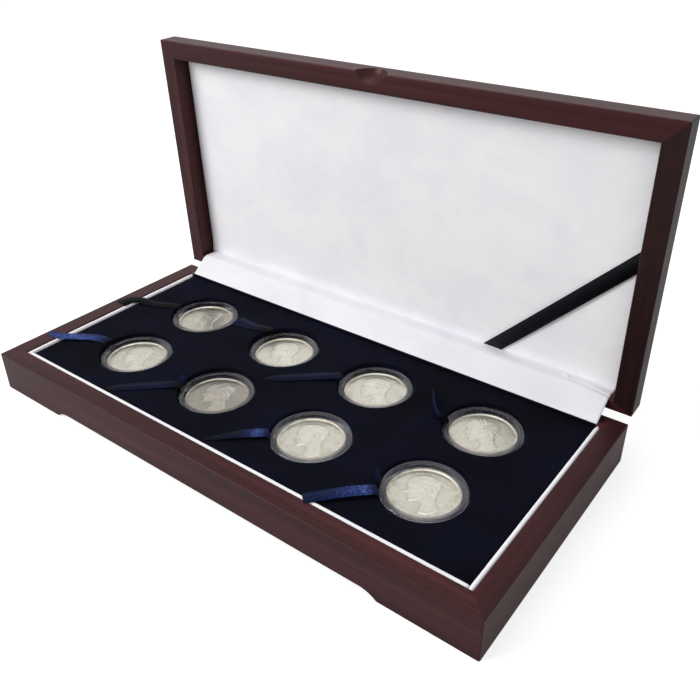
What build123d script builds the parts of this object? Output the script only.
from build123d import *

import os
from math import atan2, cos, degrees, radians, sin, sqrt

# A hinged wooden case for eight coins, each in a clear two-part capsule. It stands open on its own
# hinge stops. Millimetres, +Z up, +X to the right along the front, +Y to the back. The origin is
# under the middle of the open case's outline, on the surface that its feet stand on.

# ------------------------------------------------------------------ driving sizes
# the two boxes
case_length = 276.0
case_width = 130.0
base_height = 20.0
lid_height = 12.4
rail_width = 9.2
hinge_rail_width = 5.0  # the lid's back rail is slimmer, to leave room for the flap
corner_radius = 0.8
edge_radius = 0.5
rim_gap = 0.4  # between the two rims when closed: the hinge leaves and a ribbon's end lie in it
lid_open_angle = 88.0
lid_edge_radius = 3.0

# bracket feet in the front and back rails
apron_rise = 3.0
foot_length = 42.5
cove_radius = 12.2
toe_radius = 0.6

# base panel in its groove
groove_depth = 3.6
panel_thickness = 2.8
panel_height = 3.4
panel_play = 0.15

# lid panel in its rebate, and the padded board below it
rebate_lap = 4.2
hinge_rail_lap = 1.6
top_panel_thickness = 2.6
lining_thickness = 1.4

# thumb notch in the lid's front rail: a ball scoop whose centre lies outside the edge
notch_radius = 9.4
notch_out = 3.65
notch_below = 1.66

# liner strips round three sides of the well
liner_thickness = 2.2
liner_below_rim = 0.2

# tray
tray_below_liner = 1.0
card_thickness = 1.2
tray_play = 0.1

# coins, capsules and their grid
coin_diameter = 30.6
coin_thickness = 2.15
round_sides = 36  # coins and capsules are many-sided rounds, all turned alike
columns = 4
rows = 2
end_margin = 22.4  # from the case's ends and from its long sides to the coins' cells
side_margin = 17.0
grid_middle = (1.0, 2.4)
capsule_wall = 2.6
capsule_height = 6.0
capsule_floor = 1.7
capsule_split = 2.8
tongue_thickness = 1.2
tongue_height = 1.2
coin_play = 0.15
fit_play = 0.05
# how far each capsule's top lies below the velvet, front row from the left, then back row
capsule_depths = {"a": 1.5, "b": 1.4, "c": 0.4, "d": 0.5, "e": 1.0, "f": 1.8, "g": 1.5, "h": 1.0}
deepest_capsule = 1.8

# ribbons
ribbon_width = 6.6
ribbon_thickness = 0.25
ribbon_clearance = 0.3
ribbon_pad_length = 22.0
# each lift ribbon's way across the tray: the direction in which it leaves its hole, how far its
# later points lie from the hole's centre, and the radius of its bends
ribbon_angles = {
    "a": 188.0,
    "b": 207.2,
    "c": 219.3,
    "d": 226.1,
    "e": 192.0,
    "f": 158.6,
    "g": 200.1,
    "h": 227.9,
}
ribbon_routes = {
    "a": [(-33.0, -9.0), (-38.5, -16.6), (-51.6, -16.2)],
    "b": [(-42.8, -30.8)],
    "c": [(-34.9, -30.2)],
    "d": [(-41.5, -41.2)],
    "e": [(-47.4, -15.9)],
    "f": [(-38.3, 5.0)],
    "g": [(-45.9, -28.2)],
    "h": [(-21.0, -8.0), (-32.5, 7.8)],
}
ribbon_bend = 4.0
certificate_ribbon_width = 7.0
# how far its ends lie from the lid's inner corner, along the hinge rail and up the right rail
certificate_along = 64.3
certificate_up = 65.3

# hinges
hinge_inset = 50.0  # from each end of the case to the middle of a hinge
pin_offset = 2.1  # the pin's centre behind the case's back face
pin_radius = 0.8
bore_play = 0.04
barrel_radius = 1.85
leaf_length = 32.0
leaf_reach = 6.3
leaf_thickness = 0.9
knuckle_length = 10.6
knuckle_gap = 0.2
stop_reach = 3.5
stop_span = 36.0
stop_play = 0.8

# flap over the hinges
flap_inset = 11.25  # from each end of the case
flap_thickness = 0.8
flap_seat_gap = 0.3
flap_setback = 0.2  # from the well's back edge to the flap's edge
flap_lie = 2.6  # how far it lies flat on the base before it climbs to the lid
flap_bend = 3.6
flap_fold = 1.1

# ------------------------------------------------------------------ sizes that follow
half_length = case_length / 2
half_width = case_width / 2
well_half_length = half_length - rail_width
well_half_width = half_width - rail_width
lid_well_back = half_width - hinge_rail_width
rim_height = base_height + rim_gap
pin_y = half_width + pin_offset
pin_z = base_height + rim_gap / 2
hinge_places = (hinge_inset - half_length, half_length - hinge_inset)
flap_length = case_length - 2 * flap_inset
panel_top = panel_height + panel_thickness
liner_top = base_height - liner_below_rim
tray_top = liner_top - tray_below_liner
card_top = panel_top + card_thickness
column_pitch = (case_length - 2 * end_margin) / columns
row_pitch = (case_width - 2 * side_margin) / rows
capsule_radius = coin_diameter / 2 + capsule_wall
seat_radius = coin_diameter / 2 + coin_play
tongue_radius = seat_radius + tongue_thickness
hole_radius = capsule_radius + ribbon_clearance + ribbon_thickness + fit_play
hole_depth = deepest_capsule + capsule_height + ribbon_clearance + ribbon_thickness
board_bottom = tray_top - hole_depth
lining_face = rim_height + lid_height - top_panel_thickness - lining_thickness
overlap = 1.0  # how far cutting tools run past what they cut
near = edge_radius / 10


def slots():
    """Names and hole centres, front row from the left, then the back row."""
    places = {}
    for index, name in enumerate("abcdefgh"[: columns * rows]):
        column = index % columns - (columns - 1) / 2
        row = index // columns - (rows - 1) / 2
        x = grid_middle[0] + column * column_pitch
        y = grid_middle[1] + row * row_pitch
        places[name] = (x, y)
    return places


def block(x, y, z):
    """A box from its three (low, high) ranges."""
    size = (x[1] - x[0], y[1] - y[0], z[1] - z[0])
    return Pos(x[0], y[0], z[0]) * Box(*size, align=(Align.MIN, Align.MIN, Align.MIN))


def upright(sketch, low, high):
    """A sketch in plan, raised from one height to another."""
    return Pos(0, 0, low) * extrude(sketch, high - low)


# ------------------------------------------------------------------ mitred rails
def rail_plan(side, back_width):
    """The outline in plan of one rail, mitred at both ends."""
    outline = RectangleRounded(case_length, case_width, corner_radius)
    back = half_width - back_width
    if side == "front":
        corners = [
            (-half_length, -half_width),
            (half_length, -half_width),
            (well_half_length, -well_half_width),
            (-well_half_length, -well_half_width),
        ]
    elif side == "back":
        corners = [
            (-half_length, half_width),
            (half_length, half_width),
            (well_half_length, back),
            (-well_half_length, back),
        ]
    else:
        sign = -1 if side == "left" else 1
        corners = [
            (sign * half_length, -half_width),
            (sign * half_length, half_width),
            (sign * well_half_length, back),
            (sign * well_half_length, -well_half_width),
        ]
    return outline & Polygon(*corners, align=None)


def rail(side, section, back_width):
    """A section drawn as (inward from the outer face, up), run along one side and mitred."""
    length = case_length if side in ("front", "back") else case_width
    half_depth = half_width if side in ("front", "back") else half_length
    turn = {"front": 0, "right": 90, "back": 180, "left": 270}[side]
    start = Plane(origin=(-length / 2, -half_depth, 0), x_dir=(0, 1, 0), z_dir=(1, 0, 0))
    bar = Rot(0, 0, turn) * extrude(start * section, length)
    tall = upright(rail_plan(side, back_width), -overlap, rim_height + lid_height + overlap)
    return bar & tall


def base_section():
    """The base rail's section, with its softened rim and the groove for the bottom panel."""
    body = Polygon((0, 0), (rail_width, 0), (rail_width, base_height), (0, base_height), align=None)
    rim = body.vertices().filter_by(lambda corner: corner.Y > base_height / 2)
    body = fillet(rim, edge_radius)
    groove = Pos(rail_width - groove_depth, panel_height) * Rectangle(
        groove_depth + overlap, panel_thickness, align=Align.MIN
    )
    return body - groove


def lid_section(width, lap):
    """A lid rail's section, with its rounded outer edge and the rebate for the top panel."""
    top = rim_height + lid_height
    rebate = top - top_panel_thickness
    body = Polygon(
        (0, rim_height),
        (width, rim_height),
        (width, rebate),
        (width - lap, rebate),
        (width - lap, top),
        (0, top),
        align=None,
    )
    outer = body.vertices().filter_by(lambda corner: corner.X < edge_radius and corner.Y > rebate)
    body = fillet(outer, lid_edge_radius)
    rim = body.vertices().filter_by(lambda corner: corner.Y < rim_height + edge_radius)
    return fillet(rim, edge_radius)


def apron_cut():
    """The space between the feet of one long rail: coves that end in small rounded toes."""
    run = sqrt(cove_radius**2 - (cove_radius - apron_rise) ** 2)
    foot_end = half_length - foot_length
    cove_end = foot_end - run
    half_turn = atan2(run, cove_radius - apron_rise) / 2
    middle = (
        cove_end + cove_radius * sin(half_turn),
        apron_rise - cove_radius * (1 - cos(half_turn)),
    )
    with BuildSketch() as outline:
        with BuildLine():
            Line((0, apron_rise), (cove_end, apron_rise))
            ThreePointArc((cove_end, apron_rise), middle, (foot_end, 0))
            Line((foot_end, 0), (foot_end, -overlap))
            Line((foot_end, -overlap), (0, -overlap))
            mirror(about=Plane.YZ)
        make_face()
    slab = extrude(Plane.XZ * outline.sketch, half_width, both=True)
    return slab


def base_rails():
    """Four mitred rails. The front and back ones stand on feet."""
    section = base_section()
    rails = {side: rail(side, section, rail_width) for side in ("front", "back", "left", "right")}
    for side in ("front", "back"):
        cut = rails[side] - apron_cut()
        foot_end = half_length - foot_length
        toes = cut.edges().filter_by(Axis.Y).filter_by(
            lambda edge: abs(edge.center().Z) < near and abs(abs(edge.center().X) - foot_end) < near
        )
        rails[side] = fillet(toes, toe_radius)
    return rails


def thumb_scoop():
    """The ball that cuts the thumb notch from the lid's front edge."""
    return Pos(0, -half_width - notch_out, rim_height - notch_below) * Sphere(notch_radius)


def lid_rails():
    """Four mitred rails of the lid, as when it is closed."""
    section = lid_section(rail_width, rebate_lap)
    rails = {side: rail(side, section, hinge_rail_width) for side in ("front", "left", "right")}
    rails["back"] = rail("back", lid_section(hinge_rail_width, hinge_rail_lap), hinge_rail_width)
    rails["front"] = rails["front"] - thumb_scoop()
    return rails


# ------------------------------------------------------------------ panels, liners and tray
def bottom_panel():
    reach = groove_depth - panel_play
    x = well_half_length + reach
    y = well_half_width + reach
    return block((-x, x), (-y, y), (panel_height, panel_top))


def top_panel():
    x = well_half_length + rebate_lap - panel_play
    front = -well_half_width - rebate_lap + panel_play
    back = lid_well_back + hinge_rail_lap - panel_play
    top = rim_height + lid_height
    return block((-x, x), (front, back), (top - top_panel_thickness, top))


def lid_well():
    """The X and Y ranges inside the lid's rails, less the padding's play."""
    x = well_half_length - panel_play
    return (-x, x), (panel_play - well_half_width, lid_well_back - panel_play)


def lining_board():
    """The lid's padded board, with its face's edge softened by the padding."""
    board = block(*lid_well(), (lining_face, lining_face + lining_thickness))
    return fillet(board.faces().sort_by(Axis.Z)[0].edges(), lining_thickness / 2)


def liner(side):
    """A padded strip with a round top. The side strips run the whole depth of the well."""
    round_radius = liner_thickness / 2
    straight = liner_top - round_radius
    section = Pos(0, panel_top) * Rectangle(
        liner_thickness, straight - panel_top, align=Align.MIN
    ) + Pos(round_radius, straight) * Circle(round_radius)
    if side == "front":
        length = 2 * (well_half_length - liner_thickness)
        plane = Plane(origin=(-length / 2, -well_half_width, 0), x_dir=(0, 1, 0), z_dir=(1, 0, 0))
        return extrude(plane * section, length)
    plane = Plane(origin=(-well_half_length, -well_half_width, 0), x_dir=(1, 0, 0), z_dir=(0, -1, 0))
    strip = extrude(plane * section, -2 * well_half_width)
    if side == "right":
        strip = mirror(strip, Plane.YZ)
    return strip


def tray_ranges():
    """The tray's X and Y ranges, between the liners and the back rail."""
    x = well_half_length - liner_thickness - tray_play
    front = -well_half_width + liner_thickness + tray_play
    return (-x, x), (front, well_half_width - tray_play)


def tray_card():
    return block(*tray_ranges(), (panel_top, card_top))


def tray_foam():
    return block(*tray_ranges(), (card_top, board_bottom))


def tray_board():
    """The velvet-covered board, with a round hole for each capsule."""
    board = block(*tray_ranges(), (board_bottom, tray_top))
    for x, y in slots().values():
        board -= Pos(x, y, board_bottom) * Cylinder(
            hole_radius, hole_depth + overlap, align=(Align.CENTER, Align.CENTER, Align.MIN)
        )
    return board


# ------------------------------------------------------------------ coins and capsules
def disc(radius, low, high):
    """A round plate from one height to another."""
    return upright(RegularPolygon(radius, round_sides), low, high)


def coin():
    """A coin lying on z = 0."""
    return disc(coin_diameter / 2, 0, coin_thickness)


def capsule_base():
    """The lower half: a floor, and the upright tongue round the coin that the upper half covers."""
    shell = disc(capsule_radius, 0, capsule_split)
    shell += disc(tongue_radius, 0, capsule_split + tongue_height)
    return shell - disc(seat_radius, capsule_floor, capsule_height)


def capsule_lid():
    """The upper half: a cap that closes over the tongue."""
    shell = disc(capsule_radius, capsule_split + fit_play, capsule_height)
    return shell - disc(tongue_radius + fit_play, 0, capsule_split + tongue_height + fit_play)


def capsule_bottom(name):
    """The height at which a slot's capsule stands."""
    return tray_top - capsule_depths[name] - capsule_height


# ------------------------------------------------------------------ ribbons
def rim_zones():
    """In plan, what lies above the tray, and the thin line just inside the liners."""
    (left, right), (front, back) = tray_ranges()
    tray = Pos((left + right) / 2, (front + back) / 2) * Rectangle(right - left, back - front)
    step = ribbon_thickness
    inner = Pos((left + right) / 2, (front + back) / 2 + step / 2) * Rectangle(
        right - left - 2 * step, back - front - step
    )
    return tray, tray - inner


def lift_ribbon(name):
    """A flat ribbon: a folded pad under the capsule, a riser in the hole and the end on the tray."""
    x, y = slots()[name]
    angle = ribbon_angles[name]
    hole_wall = Pos(x, y) * Circle(hole_radius - fit_play)
    riser_inner = Pos(x, y) * Circle(hole_radius - fit_play - ribbon_thickness)
    out = Vector(1, 0).rotate(Axis.Z, angle)
    start = Vector(x, y) + out * (hole_radius - fit_play - ribbon_thickness)
    under = Pos(x, y) * Rot(0, 0, angle) * Pos(hole_radius / 2, 0) * Rectangle(
        hole_radius, ribbon_width
    )
    riser = under + Pos(x, y) * Rot(0, 0, angle) * Pos(hole_radius, 0) * Rectangle(
        hole_radius, ribbon_width
    )
    riser = riser & (hole_wall - riser_inner)
    pad_centre = hole_radius - ribbon_clearance - ribbon_thickness - ribbon_pad_length / 2
    pad = Pos(x, y) * Rot(0, 0, angle) * Pos(pad_centre, 0) * Rectangle(
        ribbon_pad_length, ribbon_width
    )
    pad = pad & riser_inner
    pad_top = capsule_bottom(name) - ribbon_clearance
    solid = upright(pad, board_bottom, pad_top)
    solid += upright(riser, board_bottom, tray_top + ribbon_thickness)
    points = [start] + [Vector(x + dx, y + dy) for dx, dy in ribbon_routes[name]]
    if len(points) > 2:
        path = FilletPolyline(*points, radius=ribbon_bend)
    else:
        path = Polyline(*points)
    band = trace(path, ribbon_width) - riser_inner
    tray, step_line = rim_zones()
    on_tray = band & tray
    on_rim = band - tray
    solid += upright(on_tray, tray_top, tray_top + ribbon_thickness)
    if on_rim.faces() and on_rim.area > 0.01:
        solid += upright(on_rim + (band & step_line), base_height, base_height + ribbon_thickness)
        solid += upright(band & step_line, tray_top, base_height + ribbon_thickness)
    return solid


def certificate_ribbon():
    """The band across one corner of the lid's lining, as when the lid is closed."""
    middle = (well_half_length - certificate_along / 2, lid_well_back - certificate_up / 2)
    length = sqrt(certificate_along**2 + certificate_up**2) + 2 * certificate_ribbon_width
    lean = -degrees(atan2(certificate_up, certificate_along))
    band = Pos(*middle) * Rot(0, 0, lean) * Rectangle(length, certificate_ribbon_width)
    band = upright(band, lining_face - ribbon_thickness, lining_face)
    return band & block(*lid_well(), (0, rim_height + lid_height))


# ------------------------------------------------------------------ hinges
def stop_section(inner, low):
    """A stop's section across the pin: flat-sided, from an inner radius out, from one angle on."""
    half = stop_span / 2
    corners = []
    for radius, turn in ((inner, 0), (stop_reach, 0), (stop_reach, stop_span), (inner, stop_span)):
        reach = radius / cos(radians(half)) if radius == inner else radius
        angle = radians(low + turn)
        corners.append((reach * cos(angle), reach * sin(angle)))
    return Polygon(*corners, align=None)


def along_pin(section, low, high):
    """A section across the pin, drawn as (Y, Z) from its centre, run from one X to another."""
    plane = Plane(origin=(low, pin_y, pin_z), x_dir=(0, 1, 0), z_dir=(1, 0, 0))
    return extrude(plane * section, high - low)


def leaf_face(upper):
    """The height of a leaf's open face, flush with its rail's rim."""
    return rim_height if upper else base_height


def leaf_plate(upper):
    """The plate let into a rail, without its knuckles."""
    face = leaf_face(upper)
    heights = (face, face + leaf_thickness) if upper else (face - leaf_thickness, face)
    return block((-leaf_length / 2, leaf_length / 2), (pin_y - leaf_reach, pin_y), heights)


def hinge_leaf(upper):
    """One leaf at x = 0 of a closed hinge: the upper one has the middle knuckle."""
    end = leaf_length / 2
    middle = knuckle_length / 2
    if upper:
        own = [(-middle, middle)]
        others = [(-end, -middle - knuckle_gap), (middle + knuckle_gap, end)]
    else:
        own = [(-end, -middle - knuckle_gap), (middle + knuckle_gap, end)]
        others = [(-middle, middle)]
    stop_low = lid_open_angle / 2 if upper else -lid_open_angle / 2 - stop_play / 2 - stop_span
    if upper:
        stop_low += stop_play / 2
    clear = barrel_radius + knuckle_gap
    leaf = leaf_plate(upper)
    for low, high in others:
        leaf -= along_pin(Circle(clear), low - knuckle_gap, high + knuckle_gap)
    leaf += along_pin(stop_section(clear, stop_low), -end, end)
    for low, high in own:
        leaf += along_pin(Circle(barrel_radius), low, high)
        leaf += along_pin(stop_section(barrel_radius / 2, stop_low), low, high)
    return leaf - along_pin(Circle(pin_radius + bore_play), -end - overlap, end + overlap)


def hinge_pin():
    """The pin, as long as its hinge."""
    return along_pin(Circle(pin_radius), -leaf_length / 2, leaf_length / 2)


# ------------------------------------------------------------------ flap
def to_open(shape):
    """Turns a piece of the closed lid to its open place, about the hinge pins."""
    return Pos(0, pin_y, pin_z) * Rot(-lid_open_angle, 0, 0) * Pos(0, -pin_y, -pin_z) * shape


def lid_point(from_pin, inward):
    """A point (Y, Z) of the open lid: its distance from the pin along the rim, and its depth."""
    angle = radians(lid_open_angle)
    depth = rim_gap / 2 + inward
    y = pin_y - from_pin * cos(angle) + depth * sin(angle)
    z = pin_z + from_pin * sin(angle) + depth * cos(angle)
    return y, z


def hinge_flap():
    """The flap with the lid open: from the back rail's top up to the lid's rim, and over its edge."""
    off = flap_seat_gap + flap_thickness / 2
    start = (well_half_width + flap_setback, base_height + off)
    knee = (start[0] + flap_lie, start[1])
    inner_edge = hinge_rail_width + pin_offset + off
    rim_top = lid_point(inner_edge, -off)
    lining_depth = lid_height - top_panel_thickness - lining_thickness
    end = lid_point(inner_edge, lining_depth - flap_seat_gap)
    route = FilletPolyline(start, knee, rim_top, end, radius=[flap_bend, flap_fold])
    section = trace(route, flap_thickness)
    plane = Plane(origin=(-flap_length / 2, 0, 0), x_dir=(0, 1, 0), z_dir=(1, 0, 0))
    return extrude(plane * section, flap_length)


# ------------------------------------------------------------------ the whole case
def base_pieces():
    """Every piece that stays with the base, by node name."""
    rails = base_rails()
    for x in hinge_places:
        rails["back"] -= Pos(x, 0, 0) * leaf_plate(upper=False)
    pieces = {f"base_{side}_rail": shape for side, shape in rails.items()}
    pieces["base_bottom_panel"] = bottom_panel()
    for side in ("front", "left", "right"):
        pieces[f"liner_{side}"] = liner(side)
    pieces["tray_card"] = tray_card()
    pieces["tray_foam"] = tray_foam()
    pieces["tray_board"] = tray_board()
    for name in slots():
        pieces[f"lift_ribbon_{name}"] = lift_ribbon(name)
    return pieces


def hinge_pieces():
    """Both hinges, closed, by node name."""
    pieces = {}
    for side, x in zip(("left", "right"), hinge_places):
        pieces[f"hinge_base_leaf_{side}"] = Pos(x, 0, 0) * hinge_leaf(upper=False)
        pieces[f"hinge_lid_leaf_{side}"] = Pos(x, 0, 0) * hinge_leaf(upper=True)
        pieces[f"hinge_pin_{side}"] = Pos(x, 0, 0) * hinge_pin()
    return pieces


def lid_pieces():
    """Every piece of the lid, as when it is closed."""
    rails = lid_rails()
    for x in hinge_places:
        rails["back"] -= Pos(x, 0, 0) * leaf_plate(upper=True)
    pieces = {f"lid_{side}_rail": shape for side, shape in rails.items()}
    pieces["lid_top_panel"] = top_panel()
    pieces["lid_lining"] = lining_board()
    pieces["certificate_ribbon"] = certificate_ribbon()
    return pieces


def coin_pieces():
    """Each slot's coin in its capsule."""
    pieces = {}
    parts = {"capsule_base": capsule_base(), "coin": Pos(0, 0, capsule_floor) * coin()}
    parts["capsule_lid"] = capsule_lid()
    for name, (x, y) in slots().items():
        for part, shape in parts.items():
            pieces[f"{part}_{name}"] = Pos(x, y, capsule_bottom(name)) * shape
    return pieces


def to_frame(shape):
    """Moves a piece so that the open case's outline is centred over the origin."""
    back = lid_point(pin_offset + lid_edge_radius, lid_height)[0]
    return Pos(0, (half_width - back) / 2, 0) * shape


pieces = base_pieces() | coin_pieces()
pieces["hinge_flap"] = hinge_flap()
for name, shape in hinge_pieces().items():
    pieces[name] = to_open(shape) if name.startswith("hinge_lid_leaf") else shape
for name, shape in lid_pieces().items():
    pieces[name] = to_open(shape)

os.makedirs("parts", exist_ok=True)
for name, shape in pieces.items():
    export_step(to_frame(shape), f"parts/{name}.step")
print(len(pieces), "pieces written")
